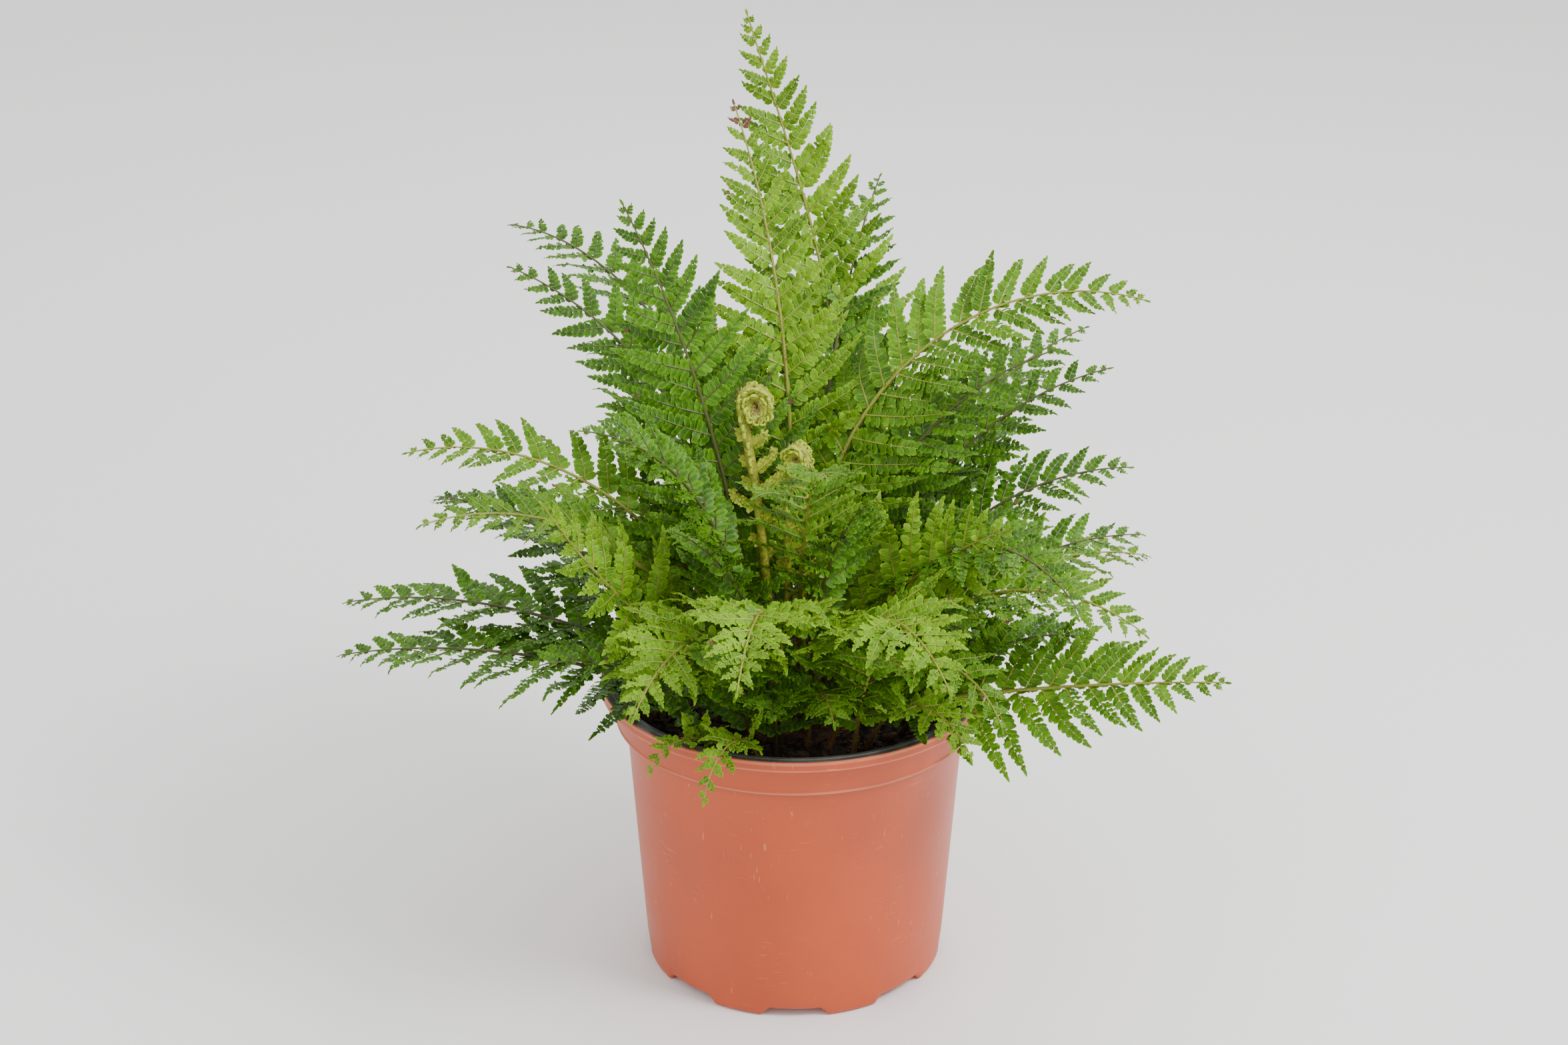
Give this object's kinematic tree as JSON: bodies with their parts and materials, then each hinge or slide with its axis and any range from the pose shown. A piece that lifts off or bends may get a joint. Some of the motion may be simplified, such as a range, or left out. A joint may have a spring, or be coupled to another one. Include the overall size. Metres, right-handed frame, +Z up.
{
  "type": "potted fern",
  "caption": "Garden fern with arching, twice-divided fronds and coiled young croziers, growing in soil in a thin tapered plastic nursery pot with a stepped rim.",
  "frame": {"origin": "centre of the flat middle of the pot's underside", "axes": "+Z up along the pot's axis; -Y towards the plant's front, +X to its right as seen from the front"},
  "size_m": [0.4119, 0.4029, 0.4555],
  "materials": {
    "pot_plastic": "satin terracotta-coloured outside, black inside and on the rim",
    "soil": "matte moist peat with bark bits",
    "crown_scales": "matte, covered in brown papery scales",
    "crozier_hair": "matte, golden scales over pale green",
    "young_leaf": "satin thin leaf, yellow-green",
    "olive_leaf": "satin leaf, mid green",
    "old_leaf": "satin leaf, dark green"
  },
  "bodies": {
    "root": {"pot": "pot_plastic", "soil": "soil", "crown": "crown_scales", "tall_crozier": "crozier_hair", "small_crozier": "crozier_hair", "low_crozier": "crozier_hair", "apex_frond": "young_leaf", "brown_tip_frond": "young_leaf", "left_centre_frond": "old_leaf", "left_upper_frond": "old_leaf", "left_rear_frond": "old_leaf", "left_mid_frond": "olive_leaf", "left_drooping_frond": "olive_leaf", "left_young_frond": "young_leaf", "left_low_frond": "old_leaf", "left_lowest_frond": "old_leaf", "right_upper_frond": "olive_leaf", "right_mid_frond": "old_leaf", "right_side_frond": "old_leaf", "right_curling_frond": "old_leaf", "right_front_frond": "olive_leaf", "right_low_frond": "olive_leaf", "front_young_frond": "young_leaf", "rim_right_frond": "olive_leaf", "rim_left_frond": "young_leaf", "front_frond": "young_leaf", "front_right_frond": "young_leaf", "front_left_frond": "young_leaf", "rear_upper_frond": "old_leaf", "rear_right_frond": "old_leaf", "rear_frond": "old_leaf", "rear_left_frond": "old_leaf", "rear_left_low_frond": "old_leaf", "rear_right_low_frond": "old_leaf", "right_rear_low_frond": "olive_leaf", "inner_left_frond": "old_leaf", "inner_front_frond": "olive_leaf", "inner_right_frond": "old_leaf", "mid_left_frond": "old_leaf", "mid_right_frond": "old_leaf", "rear_low_frond": "old_leaf", "rim_front_frond": "olive_leaf", "rim_front_right_frond": "young_leaf", "low_front_frond": "old_leaf", "rim_rear_left_frond": "old_leaf", "rim_rear_right_frond": "olive_leaf", "small_front_frond": "young_leaf", "small_left_frond": "young_leaf", "under_front_frond": "olive_leaf", "under_left_front_frond": "old_leaf", "under_right_front_frond": "old_leaf", "under_left_frond": "old_leaf", "under_right_frond": "old_leaf", "core_left_frond": "old_leaf", "core_right_frond": "old_leaf", "core_rear_frond": "old_leaf", "edge_left_frond": "old_leaf"}
  },
  "joints": []
}
